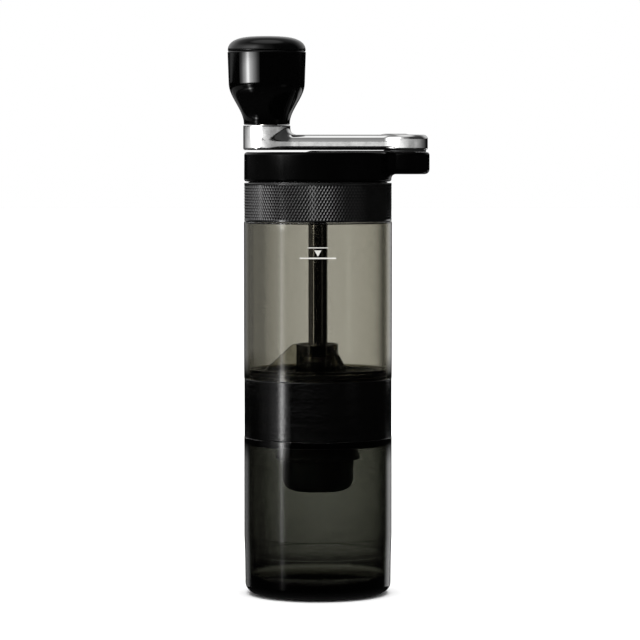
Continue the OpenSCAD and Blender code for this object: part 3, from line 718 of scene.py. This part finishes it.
def make_lid_ring():
    """The lid with a real diamond knurl cut into its rim: rows of pyramids with small flat tips."""
    low, high = RING_LOW, RING_HIGH
    crest = BODY_R - 0.16
    root = crest - 0.23
    knurl_low, knurl_high = low + 0.75, high - 0.75
    around, rows, flat = 140, 12, 0.2
    cell = (knurl_high - knurl_low) / rows
    points, faces = [], []
    index = {}

    def at(u, v, r):
        """The point at u half-cells round and v half-rows up, made once."""
        key = (round(u * 4) % (around * 8), round(v * 4), round(r, 3))
        if key not in index:
            a = TAU * u / (around * 2)
            index[key] = len(points)
            points.append((r * math.cos(a), r * math.sin(a), knurl_low + v * cell))
        return index[key]

    for row in range(rows + 1):
        for k in range(around):
            u = 2 * k + row % 2
            below, above = row > 0, row < rows
            left, right = at(u - 1, row, root), at(u + 1, row, root)
            tip_left, tip_right = at(u - flat, row, crest), at(u + flat, row, crest)
            if above:
                top, tip_top = at(u, row + 1, root), at(u, row + flat, crest)
                faces.append([right, top, tip_top, tip_right])
                faces.append([top, left, tip_left, tip_top])
            if below:
                foot, tip_foot = at(u, row - 1, root), at(u, row - flat, crest)
                faces.append([left, foot, tip_foot, tip_left])
                faces.append([foot, right, tip_right, tip_foot])
            if above and below:
                faces.append([tip_foot, tip_right, tip_top, tip_left])
            elif above:
                faces.append([tip_right, tip_top, tip_left])
            else:
                faces.append([tip_foot, tip_right, tip_left])
    bush_r, boss_r, boss_foot = 9.52, 11.9, low + 3.4
    web_low, web_high = low + 10.1, low + 12.6
    skirt_r = BODY_R - 1.2
    lip_out, lip_in, lip_top = 27.2, 25.0, HEAD_LOW - 0.12
    profile = rounded([
        (crest, low, 0.2), (crest, knurl_low, 0), (crest, knurl_high, 0),
        (crest, high, 0.25), (lip_out, high, 0.1), (lip_out, lip_top, 0.1),
        (lip_in, lip_top, 0.3), (lip_in, web_high, 0.4), (boss_r, web_high, 0.4),
        (boss_r, high, 0.3), (bush_r, high, 0.2), (bush_r, boss_foot, 0.2), (boss_r, boss_foot, 0.3),
        (boss_r, web_low, 0.5), (skirt_r, web_low, 0.4), (skirt_r, low, 0.15),
    ], steps=4)
    ring_rows = []
    for r, z in profile:
        ring_rows.append(list(range(len(points), len(points) + around)))
        for k in range(around):
            a = TAU * k / around
            points.append((r * math.cos(a), r * math.sin(a), z))
    for i in range(len(profile)):
        n = (i + 1) % len(profile)
        if abs(profile[i][1] - knurl_low) < 1e-6 and abs(profile[n][1] - knurl_high) < 1e-6:
            low_row, high_row = ring_rows[i], ring_rows[n]
            continue
        for k in range(around):
            m = (k + 1) % around
            faces.append([ring_rows[i][k], ring_rows[i][m], ring_rows[n][m], ring_rows[n][k]])
    for k in range(around):
        m = (k + 1) % around
        u = 2 * k
        left, right = at(u - flat, 0, crest), at(u + flat, 0, crest)
        valley, next_left = at(u + 1, 0, root), at(u + 2 - flat, 0, crest)
        faces.append([low_row[k], low_row[m], next_left, valley, right])
        faces.append([low_row[k], right, left])
        left, right = at(u - flat, rows, crest), at(u + flat, rows, crest)
        valley, next_left = at(u + 1, rows, root), at(u + 2 - flat, rows, crest)
        faces.append([high_row[m], high_row[k], right, valley, next_left])
        faces.append([high_row[k], left, right])
    lid = build("lid_ring_knurled", points, faces, smooth=False)
    finish_piece(lid, "lid", "knurled_black", "lid_ring")


# ---------- crank head, arm and knob ----------

def make_head():
    """The crank head: a hollow disc on ribs, with the tab that carries the arm's pivot."""
    low, high = HEAD_LOW, HEAD_HIGH
    disc_r, draft = BODY_R - 0.1, 0.006
    tab_low = high - 8.6
    tab_x, tab_start_r, tab_end_r = 14.0, 17.5, 9.65
    hollow_r, hollow_top = BODY_R - 2.75, high - 3.0
    post_r, post_low = 13.4, low + 4.65
    rib_half, rib_low, rib_in = 0.8, low + 3, 13.5
    seat_r, pocket_r, pocket_top, bush_r = 12, 6.4, tab_low + 2.7, 5.2
    blend = 0.8

    def field(x, y, z):
        r = np.hypot(x, y)
        from_pivot = np.hypot(x - PIVOT_X, y)
        disc = slab(r - disc_r + draft * (z - low), z, low, high, 1.0, 1.2)
        tab = slab(taper(x, y, tab_x, tab_start_r, PIVOT_X, tab_end_r), z, tab_low, high, 1.9, 1.1)
        whole = join(disc, tab, 2.2)
        hollow = slab(r - hollow_r, z, low - 6, hollow_top, 0.5, 1.0)
        post = slab(r - post_r, z, post_low, high, 0.3, 0.3)
        seat = slab(from_pivot - seat_r, z, tab_low, high + 9, 0.5, 0.5)
        ribs = None
        for turn in (0, 60, 120):
            c, s = math.cos(math.radians(turn)), math.sin(math.radians(turn))
            rib = slab(np.abs(x * s - y * c) - rib_half, z, rib_low, high, 0.3, 0.3)
            rib = np.maximum(rib, rib_in - r)
            ribs = rib if ribs is None else np.minimum(ribs, rib)
        hollow = np.maximum(hollow, -join(join(post, ribs, blend), seat, blend))
        pocket = slab(from_pivot - pocket_r, z, tab_low - 5, pocket_top, 0.2, 0.2)
        bore = slab(from_pivot - bush_r, z, tab_low, high + 5, 0.2, 0.2)
        return np.maximum(whole, -np.minimum(hollow, np.minimum(pocket, bore)))

    corner, far_corner = (-BODY_R, -BODY_R, low), (PIVOT_X + 10, BODY_R, high)
    head = field_mesh("crank_head_cap", field, corner, far_corner, step=0.42)
    finish_piece(head, "head", "black_gloss", "crank_head")


def make_arm():
    """The chrome arm: a soft-edged bar from the pivot's pad to the tall boss under the knob."""
    low, boss_high = ARM_LOW, BOSS_HIGH
    high = low + 6
    pad_r, boss_r, bar_half = 8.95, 9.2, 6.5
    pin_r, pin_top = 4.02, low + 3.6

    def field(x, y, z):
        from_pivot = np.hypot(x - PIVOT_X, y)
        pad = slab(from_pivot - pad_r, z, low, high, 0.7, 1.7)
        boss = slab(np.hypot(x - KNOB_X, y) - boss_r, z, low, boss_high, 0.6, 0.35)
        along = np.maximum(KNOB_X - x, x - PIVOT_X)
        bar = np.maximum(slab(np.abs(y) - bar_half, z, low, high, 1.3, 2.7), along)
        whole = join(join(bar, pad, 1.6), boss, 2.8)
        pin = slab(from_pivot - pin_r, z, low - 5, pin_top, 0.2, 0.2)
        return np.maximum(np.maximum(np.maximum(whole, -pin), z - boss_high), low - z)

    corner, far_corner = (KNOB_X - boss_r, -boss_r, low), (PIVOT_X + 9, boss_r, boss_high)
    arm = field_mesh("crank_arm_bar", field, corner, far_corner, step=0.34)
    finish_piece(arm, "arm", "polished_chrome", "crank_arm")


def knob_radius(z):
    """The knob's outline: a round neck that swells into a slightly tapered grip."""
    neck_r, grip_r = 9, 14.85
    swell_low, swell_height = KNOB_LOW + 0.5, 15.5
    flare_low, flare_slope = KNOB_LOW + 15.5, 0.45 / 13
    t = min(max((z - swell_low) / swell_height, 0), 1)
    swell = t * t * (3 - 2 * t)
    flare = max(z - flare_low, 0) * flare_slope
    return neck_r + (grip_r - neck_r) * swell + flare


def make_knob():
    """The knob's body, hollow for its cap and its two bushes."""
    grip_top = KNOB_HIGH - 0.7
    rim_r, cap_r, bush_r, bore = 15.3, 11.5, 6, 5.2
    cap_seat = KNOB_LOW + 20.9
    rib_low, rib_high = KNOB_LOW + 6.1, KNOB_LOW + 15.1
    grip = [np.array([knob_radius(z), z]) for z in np.linspace(KNOB_LOW + 0.35, grip_top, 56)]
    seam = rounded([
        (knob_radius(grip_top), grip_top, 0), (rim_r, KNOB_HIGH, 0.45), (cap_r, KNOB_HIGH, 0.2),
        (cap_r, cap_seat, 0.3), (bush_r, cap_seat, 0.2), (bush_r, rib_high, 0.1), (bore, rib_high, 0.1),
        (bore, rib_low, 0.1), (bush_r, rib_low, 0.1), (bush_r, KNOB_LOW, 0.2), (8.85, KNOB_LOW, 0.15),
    ])[1:]
    body = lathe("knob_body_grip", grip + seam, x=KNOB_X)
    finish_piece(body, "knob", "knob_gloss", "knob_body")


def make_knob_cap():
    """The cap's flattened dome, with the spigot that goes down into the knob."""
    r, spigot_r, spigot_bore = 15.18, 11.4, 9.4
    rim_low, dome_low = KNOB_HIGH + 0.1, KNOB_HIGH + 0.55
    spigot_low, under = KNOB_HIGH - 3, KNOB_HIGH + 1.4
    rise = CAP_HIGH - dome_low
    across_power, up_power = 0.58, 0.9
    steps = 40
    dome = []
    for k in range(steps + 1):
        a = math.pi / 2 * k / steps
        reach = r * max(math.cos(a), 0) ** across_power if k < steps else 0
        dome.append(np.array([reach, dome_low + rise * math.sin(a) ** up_power]))
    rim = rounded([
        (0, under, 0), (spigot_bore, under, 0.4), (spigot_bore, spigot_low, 0.2),
        (spigot_r, spigot_low, 0.3), (spigot_r, rim_low, 0.1), (r, rim_low, 0.35),
        (r, KNOB_HIGH + 0.5, 0),
    ])[:-1]
    cap = lathe("knob_cap_dome", dome + rim, x=KNOB_X)
    finish_piece(cap, "knob", "knob_gloss", "knob_cap")


# ---------- CAD pieces that stay ----------

def dress_cad_nodes():
    """Gives every CAD piece that still shows the material of its slot."""
    slots = {part["node"]: part["material_slot"] for part in frame["record"]["subparts"]}
    for name, node in frame["nodes"].items():
        if node.hide_render:
            continue
        node.data.materials.clear()
        node.data.materials.append(MATERIALS[slots[name]])


# ---------- stage ----------

def make_floor():
    """A wide round floor that reflections and the clear parts don't see."""
    radius, sides = 9000, 96
    points = [(0, 0, 0)]
    for k in range(sides):
        a = TAU * k / sides
        points.append((radius * math.cos(a), radius * math.sin(a), 0))
    faces = [[0, 1 + k, 1 + (k + 1) % sides] for k in range(sides)]
    floor = build("floor", points, faces)
    floor.data.materials.append(floor_paint("floor_paint"))
    floor.visible_glossy = False
    floor.visible_transmission = False


def make_overhead_light():
    """A soft square light that faces down, and that only matt surfaces see."""
    data = bpy.data.lights.new("overhead", "AREA")
    data.shape = "RECTANGLE"
    data.size, data.size_y = OVERHEAD_SIZE, OVERHEAD_SIZE
    data.energy = OVERHEAD_POWER
    lamp = bpy.data.objects.new("overhead", data)
    bpy.context.scene.collection.objects.link(lamp)
    lamp.location = (0, 0, OVERHEAD_HEIGHT)
    lamp.visible_camera = False
    lamp.visible_glossy = False
    lamp.visible_transmission = False


class LightPaint:
    """Light painted by azimuth, in degrees, in a node tree with the few kinds of node that it needs."""

    def __init__(self, tree, place):
        self.tree = tree
        parts = tree.nodes.new("ShaderNodeSeparateXYZ")
        tree.links.new(place, parts.inputs["Vector"])
        behind = self.math("MULTIPLY", parts.outputs["Y"], -1)
        self.azimuth = self.math("MULTIPLY", self.math("ARCTAN2", parts.outputs["X"], behind), 360 / TAU)
        self.up = parts.outputs["Z"]

    def math(self, operation, a, b=None):
        """The result of a Math node on one or two values."""
        node = self.tree.nodes.new("ShaderNodeMath")
        node.operation = operation
        for socket, value in zip(node.inputs, (a, b)):
            self.feed(socket, value)
        return node.outputs["Value"]

    def feed(self, socket, value):
        """Sets a socket to a number, or links it."""
        if isinstance(value, (int, float)):
            socket.default_value = value
        elif value is not None:
            self.tree.links.new(value, socket)

    def profile(self, value, stops):
        """A curve through (value, share) stops."""
        low, high = stops[0][0], stops[-1][0]
        span = self.tree.nodes.new("ShaderNodeMapRange")
        span.inputs["From Min"].default_value = low
        span.inputs["From Max"].default_value = high
        self.tree.links.new(value, span.inputs["Value"])
        node = self.tree.nodes.new("ShaderNodeValToRGB")
        elements = node.color_ramp.elements
        while len(elements) < len(stops):
            elements.new(0.5)
        for element, (position, share) in zip(elements, stops):
            element.position = (position - low) / (high - low)
            element.color = (share, share, share, 1)
        self.tree.links.new(span.outputs["Result"], node.inputs["Fac"])
        return node.outputs["Color"]

    def panels(self, height, *rows):
        """The sum of light panels, each a peak with its shares across and up."""
        total = 0.0
        for peak, side, upright in rows:
            share = self.math("MULTIPLY", self.profile(self.azimuth, side), self.profile(height, upright))
            total = self.math("ADD", self.math("MULTIPLY", share, peak), total)
        return total

    def choose(self, when, yes, no):
        """yes where the ray is of one kind, else no."""
        node = self.tree.nodes.new("ShaderNodeMix")
        self.tree.links.new(when, node.inputs[0])
        self.feed(node.inputs[2], no)
        self.feed(node.inputs[3], yes)
        return node.outputs[0]


def make_world():
    """A white backdrop, and for reflections a dark studio with a few soft panels."""
    world = bpy.data.worlds.new("studio")
    bpy.context.scene.world = world
    world.use_nodes = True
    world.cycles.sampling_method = "NONE"
    tree = world.node_tree
    paint = LightPaint(tree, tree.nodes.new("ShaderNodeTexCoord").outputs["Generated"])
    elevation = paint.math("MULTIPLY", paint.math("ARCSINE", paint.up), 360 / TAU)
    ambient = paint.math("MULTIPLY", paint.profile(elevation, AMBIENT_HEIGHT), AMBIENT_PEAK)
    panels = paint.panels(
        elevation,
        (BACK_PEAK, BACK_SIDE, BACK_HEIGHT),
        (PANEL_PEAK, PANEL_SIDE, PANEL_HEIGHT),
        (SKY_PEAK, SKY_SIDE, SKY_HEIGHT),
        (CORNER_PEAK, CORNER_SIDE, CORNER_HEIGHT),
    )
    glossy = paint.math("ADD", ambient, panels)
    turned = paint.math("ADD", paint.azimuth, BACKDROP_TURN)
    wave = paint.math("COSINE", paint.math("MULTIPLY", turned, BACKDROP_PANELS * TAU / 360))
    across, upright = paint.profile(wave, BACKDROP_SIDE), paint.profile(elevation, BACKDROP_HEIGHT)
    backdrop = paint.math("MULTIPLY", across, upright)
    rays = tree.nodes.new("ShaderNodeLightPath").outputs
    reflected = paint.math("GREATER_THAN", rays["Glossy Depth"], 0.5)
    light = paint.choose(rays["Is Transmission Ray"], backdrop, DIFFUSE_LIGHT)
    light = paint.choose(reflected, glossy, light)
    light = paint.choose(rays["Is Camera Ray"], 1.0, light)
    tree.links.new(light, tree.nodes["Background"].inputs["Color"])


def make_screen():
    """A round screen that the camera, matt surfaces and shadows don't see, clear but for the strips of light on
    it.
    """
    sides = 96
    points = []
    for z in (SCREEN_LOW, SCREEN_HIGH):
        for k in range(sides):
            a = TAU * k / sides
            points.append((SCREEN_RADIUS * math.cos(a), SCREEN_RADIUS * math.sin(a), z))
    faces = [[k, (k + 1) % sides, sides + (k + 1) % sides, sides + k] for k in range(sides)]
    screen = build("light_screen", points, faces)
    material = bpy.data.materials.new("light_screen")
    material.use_nodes = True
    material.cycles.emission_sampling = "NONE"
    tree = material.node_tree
    tree.nodes.clear()
    paint = LightPaint(tree, tree.nodes.new("ShaderNodeTexCoord").outputs["Object"])
    height = paint.math("DIVIDE", paint.up, MM)
    strips = paint.panels(
        height,
        (KNOB_STRIP_PEAK, KNOB_STRIP_SIDE, KNOB_STRIP_HEIGHT),
        (BODY_STRIP_PEAK, BODY_STRIP_SIDE, BODY_STRIP_HEIGHT),
        (SIDE_PEAK, SIDE_SIDE, SIDE_HEIGHT),
        (RIM_PEAK, RIM_SIDE, RIM_HEIGHT),
    )
    glow = tree.nodes.new("ShaderNodeEmission")
    tree.links.new(strips, glow.inputs["Strength"])
    both = tree.nodes.new("ShaderNodeAddShader")
    tree.links.new(glow.outputs["Emission"], both.inputs[0])
    tree.links.new(tree.nodes.new("ShaderNodeBsdfTransparent").outputs["BSDF"], both.inputs[1])
    surface = tree.nodes.new("ShaderNodeOutputMaterial").inputs["Surface"]
    tree.links.new(both.outputs["Shader"], surface)
    screen.data.materials.append(material)
    screen.visible_camera = False
    screen.visible_diffuse = False
    screen.visible_shadow = False


def make_camera():
    """About 1.2 m away, level with the crank head, tilted a little down, through a long lens."""
    data = bpy.data.cameras.new("camera")
    data.lens = CAMERA_LENS
    data.sensor_width = 36
    data.clip_start, data.clip_end = 0.05, 60
    camera = bpy.data.objects.new("camera", data)
    bpy.context.scene.collection.objects.link(camera)
    camera.location = CAMERA_PLACE
    camera.rotation_euler = (math.radians(90 - CAMERA_TILT), 0, 0)
    bpy.context.scene.camera = camera


make_jar()
make_foot_pad()
make_band()
make_hopper()
make_fill_mark()
make_spider()
make_carrier()
make_dial()
make_lid_ring()
make_head()
make_arm()
make_knob()
make_knob_cap()
dress_cad_nodes()
make_floor()
make_world()
make_screen()
make_overhead_light()
make_camera()
bpy.context.scene.view_settings.view_transform = "Standard"
